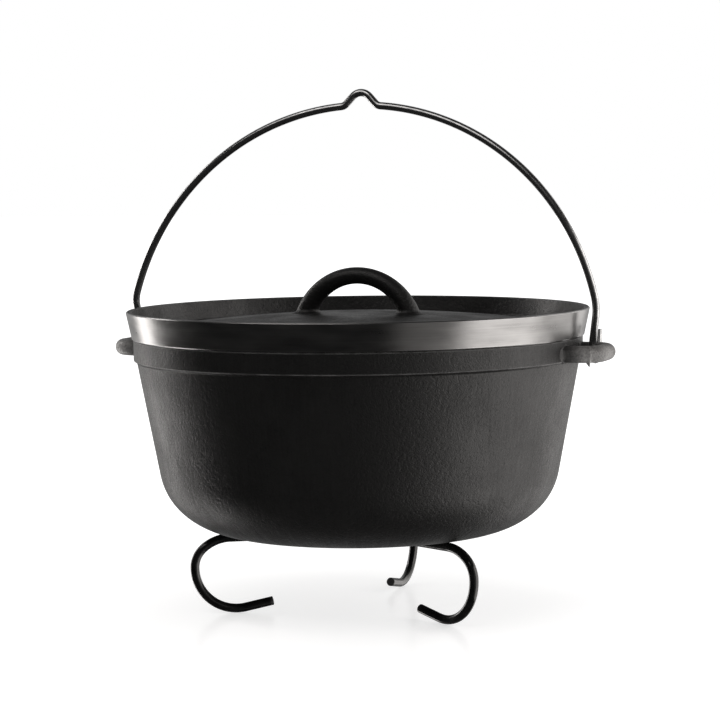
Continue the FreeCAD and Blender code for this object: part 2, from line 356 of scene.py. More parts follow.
class NodeGraph:
    """Short calls for adding and joining the nodes of one tree."""

    def __init__(self, tree: bpy.types.NodeTree) -> None:
        """Empties the tree and keeps it."""
        self.tree = tree
        tree.nodes.clear()

    def add(self, kind: str, inputs: dict | None = None, **settings: object) -> bpy.types.Node:
        """Adds a node.

        Args:
            kind: The node's type name.
            inputs: Socket name or number to a value or to the socket that feeds it.
            **settings: The node's own settings.

        Returns:
            The node.
        """
        node = self.tree.nodes.new(kind)
        for key, value in settings.items():
            setattr(node, key, value)
        for key, value in (inputs or {}).items():
            if isinstance(value, Socket):
                self.tree.links.new(value, node.inputs[key])
            else:
                node.inputs[key].default_value = value
        return node

    def calc(self, operation: str, a: object, b: object = 0.0,
             c: object = 0.0) -> Socket:
        """One Math node's result."""
        return self.add("ShaderNodeMath", {0: a, 1: b, 2: c}, operation=operation).outputs[0]

    def noise(self, vector: object, scale: float, detail: float = 2.0,
              roughness: float = 0.5) -> Socket:
        """A noise texture's value.

        Args:
            vector: Place that the noise is read at.
            scale: Lumps to the unit of that place.
            detail: Number of finer layers.
            roughness: Share of each finer layer.

        Returns:
            The noise, about 0.5 on average.
        """
        return self.add("ShaderNodeTexNoise", {"Vector": vector, "Scale": scale,
                                               "Detail": detail,
                                               "Roughness": roughness}).outputs[0]

    def ranged(self, value: object, low: float, high: float, to_low: float = 0.0,
               to_high: float = 1.0) -> Socket:
        """The value carried from one range to another, held at its ends."""
        return self.add("ShaderNodeMapRange", {0: value, 1: low, 2: high, 3: to_low,
                                               4: to_high}).outputs[0]

    def mixed(self, share: object, a: object, b: object) -> Socket:
        """A colour between two, by share."""
        return self.add("ShaderNodeMix", {0: share, 6: a, 7: b},
                        data_type="RGBA").outputs[2]

    def blended(self, a: object, b: object, share: float) -> Socket:
        """The number a (1 - share) + b share."""
        return self.calc("ADD", self.calc("MULTIPLY", a, 1 - share),
                         self.calc("MULTIPLY", b, share))

    def scaled(self, x: object, x_scale: float, y: object,
               y_scale: float) -> Socket:
        """Two numbers, each times its scale, as a vector with no third part."""
        return self.joined(self.calc("MULTIPLY", x, x_scale),
                           self.calc("MULTIPLY", y, y_scale))

    def place(self) -> dict[str, Socket]:
        """The point on the piece: vector, height, radius from the axis and turn round it.

        Returns:
            Sockets named vector, height, radius and turn.
        """
        vector = self.add("ShaderNodeTexCoord").outputs["Object"]
        parts = self.add("ShaderNodeSeparateXYZ", {0: vector}).outputs
        squares = self.calc("ADD", self.calc("MULTIPLY", parts[0], parts[0]),
                            self.calc("MULTIPLY", parts[1], parts[1]))
        return {"vector": vector, "height": parts[2], "radius": self.calc("SQRT", squares),
                "turn": self.calc("ARCTAN2", parts[1], parts[0])}

    def joined(self, x: object, y: object, z: object = 0.0) -> Socket:
        """Three numbers as one vector."""
        return self.add("ShaderNodeCombineXYZ", {0: x, 1: y, 2: z}).outputs[0]

    def wear(self) -> Socket:
        """The piece's own edge_wear_and_highlight attribute."""
        return self.add("ShaderNodeAttribute", attribute_name="edge_wear_and_highlight").outputs["Fac"]

    def bump(self, height: object, distance: float, strength: float = 1.0,
             normal: object | None = None) -> Socket:
        """A bumped normal, on top of another if one is given.

        Args:
            height: Socket with the height, 0 to 1.
            distance: Height of 1, in metres.
            strength: Share of the effect.
            normal: Normal of the layer beneath, if any.

        Returns:
            The bent normal.
        """
        inputs = {"Height": height, "Distance": distance, "Strength": strength}
        if normal is not None:
            inputs["Normal"] = normal
        return self.add("ShaderNodeBump", inputs).outputs[0]


def grey(value: float, warmth: float = 0.0) -> tuple[float, float, float, float]:
    """A near-neutral colour; warmth above 0 leans to brown and below 0 to blue."""
    return (value * (1 + warmth), value, value * (1 - warmth), 1.0)


def new_material(name: str) -> tuple[bpy.types.Material, NodeGraph]:
    """A named material and its empty node graph.

    Args:
        name: Its name.

    Returns:
        The material and its emptied nodes.
    """
    material = bpy.data.materials.new(name)
    material.use_nodes = True
    return material, NodeGraph(material.node_tree)


def finish_with(graph: NodeGraph, inputs: dict) -> None:
    """Adds the surface shader and the output."""
    shader = graph.add("ShaderNodeBsdfPrincipled", inputs)
    graph.add("ShaderNodeOutputMaterial", {"Surface": shader.outputs[0]})


@dataclass(frozen=True)
class Finish:
    """A named material whose subclass works out what feeds the surface shader."""

    name: str

    def shade(self, g: NodeGraph) -> dict:
        """Adds the finish's nodes and gives the surface shader's inputs.

        Args:
            g: The material's nodes.

        Returns:
            The surface shader's inputs by name.
        """
        raise NotImplementedError

    def material(self) -> bpy.types.Material:
        """Builds the material.

        Returns:
            The finished material.
        """
        material, graph = new_material(self.name)
        finish_with(graph, self.shade(graph))
        return material


@dataclass(frozen=True)
class SandCastIron(Finish):
    """Black seasoned iron straight from a sand mould: grain, pits, lumps and upright streaks."""

    dark: float = 0.002
    light: float = 0.007
    # Edge colour: rubbed iron, and partly a painted highlight on the pot's step ridge.
    worn_and_highlight: float = 0.05
    smooth: float = 0.28
    rough: float = 0.56
    specular: float = 0.5
    grain_scale: float = 950.0
    pit_scale: float = 420.0
    lump_scale: float = 130.0
    broad_scale: float = 24.0
    grain_height: float = 0.00024
    pit_height: float = 0.00012
    lump_height: float = 0.00010
    streaks: float = 0.55
    streak_turns: float = 40.0
    streak_rise: float = 14.0
    mottle: float = 0.60
    black: float = 0.006
    black_r: float = 0.0
    worn_and_lit_r: float = 0.0
    ragged: float = 0.004

    def shade(self, g: NodeGraph) -> dict:
        """Fades, with a second radius past black_r, from seasoned black at black_r to the paler
        colour at that radius; on the pot's loops that paler colour is partly rubbed iron and
        partly painted light.

        Args:
            g: The material's nodes.

        Returns:
            The surface shader's inputs by name.
        """
        at = g.place()
        grain = g.noise(at["vector"], self.grain_scale, 3.0, 0.65)
        lumps = g.noise(at["vector"], self.lump_scale, 3.0, 0.55)
        pits = g.ranged(g.noise(at["vector"], self.pit_scale, 2.0, 0.5), 0.36, 0.50)
        broad = g.noise(at["vector"], self.broad_scale, 3.0, 0.6)
        streak = g.noise(g.scaled(at["turn"], self.streak_turns,
                                  at["height"], self.streak_rise), 3.0, 4.0, 0.7)
        # Rubbed edges take a paler colour: real wear, and on the pot's step ridge also a painted
        # highlight.
        rubbed = g.calc("MULTIPLY", g.wear(), g.ranged(lumps, 0.35, 0.65, 0.25, 1.0))
        speck = g.blended(grain, g.blended(broad, streak, self.streaks), self.mottle)
        colour = g.mixed(g.ranged(speck, 0.40, 0.60), grey(self.dark, 0.05),
                         grey(self.light, 0.03))
        colour = g.mixed(rubbed, colour, grey(self.worn_and_highlight, 0.02))
        # Black near the band and pale further out; on the pot's loops the pale colour is partly
        # rubbed iron and partly painted light.
        if self.worn_and_lit_r > self.black_r:
            ragged_r = g.calc("ADD", at["radius"], g.calc("MULTIPLY", lumps, self.ragged))
            worn_and_lit = g.ranged(ragged_r, self.black_r + self.ragged / 2,
                            self.worn_and_lit_r + self.ragged / 2)
            colour = g.mixed(worn_and_lit, grey(self.black, 0.05), colour)
        roughness = g.ranged(speck, 0.40, 0.60, self.rough, self.smooth)
        roughness = g.calc("SUBTRACT", roughness, g.calc("MULTIPLY", rubbed, 0.06))
        normal = g.bump(lumps, self.lump_height, 0.8)
        normal = g.bump(pits, self.pit_height, 0.6, normal)
        normal = g.bump(grain, self.grain_height, 0.9, normal)
        return {"Base Color": colour, "Roughness": roughness, "Normal": normal,
                "Specular IOR Level": self.specular}


@dataclass(frozen=True)
class TurnedIron(Finish):
    """Iron cut bright on a lathe: fine rings that run round the axis, with a thin oil film."""

    dark: float = 0.24
    light: float = 0.38
    smooth: float = 0.27
    rough: float = 0.34
    ring_scale: float = 3200.0
    ring_height: float = 0.00003
    ring_turns: float = 1.2
    grain_scale: float = 1300.0
    grain_height: float = 0.000003
    film_turns: float = 5.0
    film_rise: float = 130.0
    stretch: float = 0.6

    def shade(self, g: NodeGraph) -> dict:
        """Makes the rings a noise of height and radius that hardly changes with the turn.

        Args:
            g: The material's nodes.

        Returns:
            The surface shader's inputs by name.
        """
        at = g.place()
        across = g.calc("ADD", g.calc("MULTIPLY", at["height"], self.ring_scale),
                        g.calc("MULTIPLY", at["radius"], 0.6 * self.ring_scale))
        rings = g.noise(g.joined(across, g.calc("MULTIPLY", at["turn"], self.ring_turns)),
                        1.0, 3.0, 0.7)
        film = g.noise(g.scaled(at["turn"], self.film_turns, at["height"], self.film_rise),
                       1.0, 2.0, 0.5)
        grain = g.noise(at["vector"], self.grain_scale, 2.0)
        colour = g.mixed(g.ranged(g.blended(rings, film, 0.55), 0.34, 0.66),
                         grey(self.dark, 0.01), grey(self.light, 0.01))
        colour = g.mixed(g.calc("MULTIPLY", g.wear(), 0.6), colour, grey(0.55))
        roughness = g.ranged(film, 0.3, 0.7, self.smooth, self.rough)
        normal = g.bump(rings, self.ring_height, 0.6)
        normal = g.bump(grain, self.grain_height, 0.5, normal)
        round_axis = g.add("ShaderNodeTangent", direction_type="RADIAL", axis="Z").outputs[0]
        return {"Base Color": colour, "Roughness": roughness, "Normal": normal,
                "Metallic": 1.0, "Anisotropic": self.stretch,
                "Anisotropic Rotation": 0.25, "Tangent": round_axis}


@dataclass(frozen=True)
class DrawnWire(Finish):
    """Bright drawn steel: fine lines along the wire, faint handling marks."""

    dark: float = 0.42
    light: float = 0.62
    smooth: float = 0.16
    rough: float = 0.30
    line_height: float = 0.00002
    line_turns: float = 9.0
    line_run: float = 30.0
    mark_scale: float = 160.0
    mark_height: float = 0.00004

    def shade(self, g: NodeGraph) -> dict:
        """Makes lines that vary fast round the wire and slowly along it.

        Args:
            g: The material's nodes.

        Returns:
            The surface shader's inputs by name.
        """
        uv = g.add("ShaderNodeSeparateXYZ",
                   {0: g.add("ShaderNodeUVMap", uv_map="UVMap").outputs[0]}).outputs
        turn = g.calc("MULTIPLY", uv[0], 2 * math.pi)
        lines = g.noise(g.joined(g.calc("MULTIPLY", g.calc("COSINE", turn), self.line_turns),
                                 g.calc("MULTIPLY", g.calc("SINE", turn), self.line_turns),
                                 g.calc("MULTIPLY", uv[1], self.line_run)), 1.0, 3.0, 0.7)
        marks = g.noise(g.place()["vector"], self.mark_scale, 4.0, 0.65)
        colour = g.mixed(g.ranged(marks, 0.35, 0.65), grey(self.dark, -0.01),
                         grey(self.light))
        roughness = g.ranged(marks, 0.3, 0.7, self.rough, self.smooth)
        normal = g.bump(lines, self.line_height, 0.8)
        normal = g.bump(marks, self.mark_height, 0.5, normal)
        return {"Base Color": colour, "Roughness": roughness, "Normal": normal,
                "Metallic": 1.0}


@dataclass(frozen=True)
class BlackRod(Finish):
    """Hot-rolled rod under satin black: slight orange peel, scale lumps and scuffs."""

    dark: float = 0.002
    light: float = 0.006
    smooth: float = 0.14
    rough: float = 0.28
    peel_scale: float = 900.0
    peel_height: float = 0.00004
    lump_scale: float = 200.0
    lump_height: float = 0.00010
    scuff_scale: float = 70.0
    coat: float = 0.35

    def shade(self, g: NodeGraph) -> dict:
        """Lays orange peel over lumps; scuffs are duller and rubbed edges paler.

        Args:
            g: The material's nodes.

        Returns:
            The surface shader's inputs by name.
        """
        vector = g.place()["vector"]
        peel = g.noise(vector, self.peel_scale, 2.0)
        lumps = g.noise(vector, self.lump_scale, 3.0, 0.6)
        scuffs = g.noise(vector, self.scuff_scale, 5.0, 0.7)
        colour = g.mixed(g.ranged(scuffs, 0.4, 0.68), grey(self.dark), grey(self.light, 0.02))
        colour = g.mixed(g.calc("MULTIPLY", g.wear(), 0.5), colour, grey(0.05))
        roughness = g.ranged(scuffs, 0.35, 0.68, self.smooth, self.rough)
        normal = g.bump(lumps, self.lump_height, 0.7)
        normal = g.bump(peel, self.peel_height, 0.7, normal)
        return {"Base Color": colour, "Roughness": roughness, "Normal": normal,
                "Coat Weight": self.coat, "Coat Roughness": 0.08}


@dataclass(frozen=True)
class WeldScale(Finish):
    """A weld bead or hub with arc ripples and bluish scale."""

    dark: float = 0.008
    light: float = 0.05
    ripple_scale: float = 700.0

    def shade(self, g: NodeGraph) -> dict:
        """Lays patchy scale over arc ripples.

        Args:
            g: The material's nodes.

        Returns:
            The surface shader's inputs by name.
        """
        at = g.place()
        ripples = g.add("ShaderNodeTexWave", {"Vector": at["vector"],
                                              "Scale": self.ripple_scale / 2,
                                              "Distortion": 2.5, "Detail": 2.0},
                        wave_type="RINGS", rings_direction="Z").outputs[1]
        scale = g.noise(at["vector"], 420.0, 4.0, 0.65)
        colour = g.mixed(g.ranged(scale, 0.4, 0.65), grey(self.dark, -0.08),
                         grey(self.light, 0.05))
        normal = g.bump(ripples, 0.00012, 0.7)
        normal = g.bump(scale, 0.0001, 0.7, normal)
        return {"Base Color": colour, "Roughness": g.ranged(scale, 0.3, 0.7, 0.3, 0.6),
                "Normal": normal, "Metallic": 0.4}


# ---------------------------------------------------------------- pieces


def add_piece(mesh: bpy.types.Mesh, finishes: list, body: Body, slot: Slot,
              *nodes: str) -> bpy.types.Object:
    """Makes a mesh a piece of the object.

    Args:
        mesh: The mesh, in place; its name becomes the piece's.
        finishes: Materials in zone order.
        body: The body it rides on.
        slot: The record's material slot; not used.
        *nodes: The model's nodes it stands for.

    Returns:
        The piece.
    """
    piece = bpy.data.objects.new(mesh.name, mesh)
    bpy.context.scene.collection.objects.link(piece)
    zones = np.zeros(len(mesh.polygons), np.int32)
    mesh.polygons.foreach_get("material_index", zones)
    for material in finishes:
        mesh.materials.append(material)
    mesh.polygons.foreach_set("material_index", zones)
    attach(piece, body.value)
    if nodes:
        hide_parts(*nodes)
    LOG.info("%s: %d faces on %s", piece.name, len(mesh.polygons), body.value)
    return piece


@dataclass
class PotCasting:
    """The pot: bowl, rim band and two side loops, cast in one."""

    floor_z: float = 54 * MM
    height: float = 130.4 * MM
    band_r: float = 150.3 * MM
    band_h: float = 15.4 * MM
    step_w: float = 2.2 * MM
    step_rise: float = 1.5 * MM
    draft: float = 10.6
    wall: float = 4.5 * MM
    lower_bend_r: float = 54.2 * MM
    lower_turn: float = 43.0
    upper_bend_r: float = 44.9 * MM
    bar_d: float = 11 * MM
    hole_reach: float = 13.7 * MM
    hole_w: float = 27 * MM
    loop_corner_r: float = 13 * MM
    loop_top_gap: float = 3.5 * MM
    neck_d: float = 8 * MM
    neck_side_gap: float = 1.5 * MM
    neck_top_cut: float = 0.5 * MM
    hook_end_gap: float = 2.6 * MM
    wire_d: float = 5 * MM
    root_round: float = 0.8 * MM
    root_spread_out: float = 5 * MM
    root_spread_in: float = 4 * MM
    rim_round: float = 0.8 * MM
    flash_x: float = 163 * MM
    flash_w: float = 0.55 * MM
    flash_h: float = 0.55 * MM
    nub_h: float = 2.6 * MM
    nub_bend: float = 0.9 * MM
    iron: SandCastIron = field(default_factory=lambda: SandCastIron("pot_iron"))
    # The loops' pale grey is partly rubbed iron and partly painted light, the light their round
    # bars catch; near the band it fades back to the bowl's black.
    loop_iron: SandCastIron = field(default_factory=lambda: SandCastIron(
        "pot_loop_iron", dark=0.04, light=0.20, worn_and_highlight=0.12, smooth=0.34, rough=0.55,
        specular=0.7, streaks=0.2, black_r=0.151, worn_and_lit_r=0.164))

    @property
    def rim_z(self) -> float:
        """Height of the rim."""
        return self.floor_z + self.height

    @property
    def loop_z(self) -> float:
        """Height of the loops' centreline."""
        return self.rim_z - self.loop_top_gap - self.bar_d / 2

    @property
    def hinge_z(self) -> float:
        """Height of the necks that the bail's hooks go round."""
        return self.loop_z + (self.bar_d - self.neck_d) / 2 - self.neck_top_cut

    @property
    def hook_x(self) -> float:
        """Distance from the axis to the middle of a hook's wire."""
        return self.loop_reach - self.bar_d - self.hook_end_gap - self.wire_d / 2

    @property
    def loop_reach(self) -> float:
        """Distance from the axis to a loop's outside."""
        return self.band_r + self.hole_reach + self.bar_d

    @property
    def loop_half_spacing(self) -> float:
        """Half the distance between a loop's two bars."""
        return (self.hole_w + self.bar_d) / 2

    def bowl_corners(self, inset: float, top_z: float) -> tuple[Array, list]:
        """Corners of the bowl's outline, moved inwards by inset.

        A bend of radius R that turns by t meets its two lines' corner R tan(t/2) from each
        end, so the second corner is both reaches along the slanted line from the first, and
        the wall line through the step's foot fixes how far out they lie.

        Args:
            inset: Distance in from the outside.
            top_z: Height where the wall line ends.

        Returns:
            The corners after the axis point, and the bend radius at each inner one.
        """
        upper_turn = 90 - self.draft - self.lower_turn
        slant = heading(self.lower_turn)
        spread = math.tan(math.radians(self.draft))

        def reaches(depth: float) -> tuple[float, float]:
            """How far each bend's ends are from its corner."""
            return ((self.lower_bend_r - depth) * math.tan(math.radians(self.lower_turn / 2)),
                    (self.upper_bend_r - depth) * math.tan(math.radians(upper_turn / 2)))

        low, high = reaches(0)
        step_z = self.rim_z - self.band_h
        corner_z = self.floor_z + (low + high) * slant[1]
        corner_r = self.band_r - self.step_w - (step_z - corner_z) * spread
        flat_r = corner_r - (low + high) * slant[0] - low
        low, high = reaches(inset)
        first = np.array([flat_r + low, self.floor_z + inset])
        second = first + (low + high) * slant
        top = np.array([second[0] + (top_z - second[1]) * spread, top_z])
        return np.array([first, second, top]), [self.lower_bend_r - inset,
                                                self.upper_bend_r - inset]

    def bowl(self) -> bpy.types.Mesh:
        """Turns the bowl's closed outline: outside, step, band, rim and inside.

        Returns:
            The smooth-shaded mesh.
        """
        step_z = self.rim_z - self.band_h
        outer, outer_r = self.bowl_corners(0, step_z)
        inner, inner_r = self.bowl_corners(self.wall, self.rim_z)
        corners = np.concatenate([
            [[0, self.floor_z]], outer, [[self.band_r, step_z + self.step_rise]],
            [[self.band_r, self.rim_z], inner[-1]], inner[:-1][::-1],
            [[0, self.floor_z + self.wall]]])
        radii = outer_r + [1.2 * MM, 0.9 * MM, self.rim_round, 1.0 * MM] + inner_r[::-1]
        route = Route.rounded(corners, radii, step=12 * MM, turn_step=4)
        # The step's ridge and the rim's two edges take the edge colour: wear, and on the step's
        # ridge also a painted highlight.
        route.edge = np.isin(route.run, [4, 5, 6]) * route.edge
        return Surface.turned(route, 384).mesh("pot_bowl")

    def flared(self, rings: Array, path: Array, out: Array) -> Array:
        """Spreads a loop's roots over the band.

        A point moves out by f - sqrt(f^2 - (f - d)^2) where it is d from the band, f being
        the spread of the root on that side, and keeps its distance from the pot's axis, so
        that the root lies on the band.

        Args:
            rings: The bar's ring points.
            path: Its centreline.
            out: For each ring point, the direction away from the centreline.

        Returns:
            The moved ring points.
        """
        held = np.hypot(rings[..., 0], rings[..., 1])
        distance = np.clip(held - self.band_r, 0, None)
        outer = out[..., 1] * np.sign(path[:, 1])[:, None] > 0

        def growth(spread: Array) -> Array:
            """How far each point moves out for its root spread."""
            short = np.clip(spread - distance, 0, None)
            return spread - np.sqrt(spread ** 2 - short ** 2)

        level = growth(np.where(outer, self.root_spread_out, self.root_spread_in))
        rings = rings + out * np.stack([level, level, growth(self.root_round + 0 * level)], -1)
        rings[..., :2] *= (held / np.hypot(rings[..., 0], rings[..., 1]))[..., None]
        return rings

    def neck(self, path: Array, around: int) -> Array:
        """Rings of the hook's neck, a smaller circle whose top is just under the bar's.

        Args:
            path: Centre points of the bar.
            around: Number of points round its section.

        Returns:
            The ring points.
        """
        turn, level = np.arange(around) * 2 * math.pi / around, 0 * path[:, :1]
        return np.stack([path[:, :1] + 0 * turn,
                         self.loop_half_spacing - self.neck_d / 2 * np.cos(turn) + level,
                         self.hinge_z + self.neck_d / 2 * np.sin(turn) + level], -1)

    def flash(self, path: Array, out: Array) -> Array:
        """How far each ring point moves for the casting flash.

        It is a thin ridge, the bell curve e^-((x - x0) / w)^2 on the front bar, that runs on
        below the bar as a small nub bent outwards.

        Args:
            path: The bar's centreline.
            out: For each ring point, the direction away from the centreline.

        Returns:
            The moves, in the shape of out.
        """
        ridge = np.exp(-((path[:, 0] - self.flash_x) / self.flash_w) ** 2) * (path[:, 1] < 0)
        ridge = ridge[:, None]
        front = np.clip(-out[..., 1], 0, 1)
        under = np.clip(-out[..., 2], 0, 1) ** 6 * (out[..., 1] < 0.3)
        moves = out * (ridge * (self.flash_h * front + self.nub_h * under))[..., None]
        moves[..., 0] += ridge * self.nub_bend * under
        return moves

    def loop(self, name: str, side: int, flash: bool) -> bpy.types.Mesh:
        """Carries a round bar along a side loop.

        Args:
            name: The piece's name.
            side: 1 for +X and -1 for -X.
            flash: Whether the casting flash is left on its front bar.

        Returns:
            The mesh.
        """
        root_x, half = self.band_r - self.wall, self.loop_half_spacing
        end_x = self.loop_reach - self.bar_d / 2
        corners = np.array([[root_x, half, self.loop_z], [end_x, half, self.loop_z],
                            [end_x, -half, self.loop_z], [root_x, -half, self.loop_z]])
        route = Route.rounded(corners, [self.loop_corner_r] * 2, step=0.3 * MM, turn_step=1.5)
        path = route.points
        surface = Surface.swept(path, np.full(len(path), self.bar_d / 2), UP, 56)
        out = unit(surface.rings - path[:, None])
        in_neck = np.abs(path[:, 0] - self.hook_x) <= self.wire_d / 2 + self.neck_side_gap
        in_neck &= path[:, 1] > 0
        surface.wear = in_neck * 0.8
        surface.rings = np.where(in_neck[:, None, None], self.neck(path, out.shape[1]),
                                 self.flared(surface.rings, path, out))
        if flash:
            surface.rings = surface.rings + self.flash(path, out)
        turn = np.array([side, 1.0, 1.0])
        surface.rings, surface.poles = surface.rings * turn, surface.poles * turn
        return surface.mesh(name)

    def build(self) -> None:
        """Makes the bowl and both loops."""
        add_piece(self.bowl(), [self.iron.material()], Body.POT, Slot.POT_IRON, "pot")
        iron = self.loop_iron.material()
        add_piece(self.loop("pot_loop_right", 1, True), [iron], Body.POT, Slot.POT_IRON, "pot")
        add_piece(self.loop("pot_loop_left", -1, False), [iron], Body.POT, Slot.POT_IRON,
                  "pot")


@dataclass
class LidCasting:
    """The lid: domed plate, turned flange, skirt and half-ring handle, cast in one."""

    seat: PotCasting
    flange_h: float = 18.5 * MM
    flare: float = 3.6 * MM
    foot_overhang: float = 1.1 * MM
    lip_w: float = 3.8 * MM
    inner_lean: float = 3.4 * MM
    apex_h: float = 15.6 * MM
    dome_drop: float = 11 * MM
    plate_t: float = 5 * MM
    edge_chamfer: float = 0.7 * MM
    skirt_depth: float = 3.5 * MM
    skirt_w: float = 4 * MM
    skirt_gap: float = 1 * MM
    handle_r: float = 47 * MM
    handle_rise: float = 30.3 * MM
    handle_top_d: float = 11.2 * MM
    handle_foot_d: float = 16 * MM
    handle_end: float = 80.0
    handle_depth: float = 2.5 * MM
    foot_round: float = 3 * MM
    iron: SandCastIron = field(default_factory=lambda: SandCastIron(
        "lid_iron", dark=0.002, light=0.008, streaks=0.2))
    turned: TurnedIron = field(default_factory=lambda: TurnedIron("lid_turned_band"))

    @property
    def lid_r(self) -> float:
        """Largest radius, at the lip."""
        return self.seat.band_r + self.foot_overhang + self.flare

    @property
    def apex_z(self) -> float:
        """Height of the dome's top."""
        return self.seat.rim_z + self.apex_h

    @property
    def dome_edge_r(self) -> float:
        """Radius where the dome meets the flange."""
        return self.lid_r - self.lip_w - self.inner_lean

    @property
    def sphere_r(self) -> float:
        """Radius of the dome's sphere, (e^2 + d^2) / 2d for edge radius e and drop d."""
        return (self.dome_edge_r ** 2 + self.dome_drop ** 2) / (2 * self.dome_drop)

    def dome_z(self, radius: Array, sphere_r: float) -> Array:
        """Height of a sphere about the dome's centre, at a radius from the axis."""
        return self.apex_z - self.sphere_r + np.sqrt(sphere_r ** 2 - radius ** 2)

    def plate(self) -> bpy.types.Mesh:
        """Turns the plate's outline: dome, flange, lip, turned band, foot, skirt, underside.

        Returns:
            The smooth-shaded mesh.
        """
        rim_z, top_z = self.seat.rim_z, self.seat.rim_z + self.flange_h
        lid_r, foot_r, cut = self.lid_r, self.seat.band_r + self.foot_overhang, self.edge_chamfer
        mouth, _ = self.seat.bowl_corners(self.seat.wall, rim_z - self.skirt_depth)
        skirt_r = mouth[-1, 0] - self.skirt_gap
        dome_r = np.linspace(0, self.dome_edge_r, 24)
        under_r = np.linspace(skirt_r - self.skirt_w, 0, 20)
        dome = np.stack([dome_r, self.dome_z(dome_r, self.sphere_r)], -1)
        under_sphere = self.sphere_r - self.plate_t
        under = np.stack([under_r, self.dome_z(under_r, under_sphere)], -1)
        flange = np.array([
            [lid_r - self.lip_w, top_z], [lid_r - cut, top_z], [lid_r, top_z - cut],
            [foot_r, rim_z + cut], [foot_r - cut, rim_z], [skirt_r, rim_z],
            [skirt_r, mouth[-1, 1]], [skirt_r - self.skirt_w, mouth[-1, 1]]])
        corners = np.concatenate([dome, flange, under])
        flange_radii = [0.7 * MM, 0.35 * MM, 0.3 * MM, 0.3 * MM, 0.25 * MM, 0.4 * MM,
                        0.6 * MM, 0.8 * MM]
        radii = [0.0] * (len(dome) - 2) + [2.5 * MM] + flange_radii + [2.0 * MM]
        radii += [0.0] * (len(under) - 2)
        route = Route.rounded(corners, radii, step=12 * MM)
        edge_no = len(dome)
        route.edge = np.isin(route.run, range(edge_no, edge_no + 5)) * route.edge
        band = (route.run > edge_no) & (route.run < edge_no + 4)
        return Surface.turned(route, 384, band.astype(int)).mesh("lid_plate")

    def handle(self) -> bpy.types.Mesh:
        """Carries a thickening circle round the half ring.

        At angle a from the top the diameter is top + (foot - top)(1 - cos a) and the centre
        is the outer radius less half of it from the ring's centre. A point at height h over
        the dome moves out by f - sqrt(f^2 - (f - h)^2) for the foot round f, and none goes
        deeper into the plate than the root depth.

        Returns:
            The smooth-shaded mesh.
        """
        angle = np.radians(np.linspace(-self.handle_end, self.handle_end, 241))
        diameter = self.handle_top_d + (self.handle_foot_d - self.handle_top_d) * (
            1 - np.cos(angle))
        reach = self.handle_r - diameter / 2
        centre_z = self.apex_z + self.handle_rise - self.handle_r
        path = np.stack([reach * np.sin(angle), 0 * angle, centre_z + reach * np.cos(angle)],
                        -1)
        surface = Surface.swept(path, diameter / 2, np.array([0.0, 1.0, 0.0]), 72)
        rings = surface.rings
        out = rings - path[:, None]
        out[..., 2] = 0
        out = out / np.clip(np.linalg.norm(out, axis=-1, keepdims=True), 1e-6, None)
        ground = self.dome_z(np.hypot(rings[..., 0], rings[..., 1]), self.sphere_r)
        short = np.clip(self.foot_round - np.clip(rings[..., 2] - ground, 0, None), 0, None)
        flare = self.foot_round - np.sqrt(self.foot_round ** 2 - short ** 2)
        rings = rings + out * flare[..., None]
        rings[..., 2] = np.maximum(rings[..., 2], ground - self.handle_depth)
        poles = surface.poles.copy()
        poles[:, 2] = np.maximum(poles[:, 2], self.apex_z - self.handle_depth - 1 * MM)
        surface.rings, surface.poles = rings, poles
        return surface.mesh("lid_handle")

    def build(self) -> None:
        """Makes the plate and the handle."""
        iron = self.iron.material()
        turned = self.turned.material()
        add_piece(self.plate(), [iron, turned], Body.LID, Slot.LID_IRON, "lid")
        add_piece(self.handle(), [iron], Body.LID, Slot.LID_IRON, "lid")


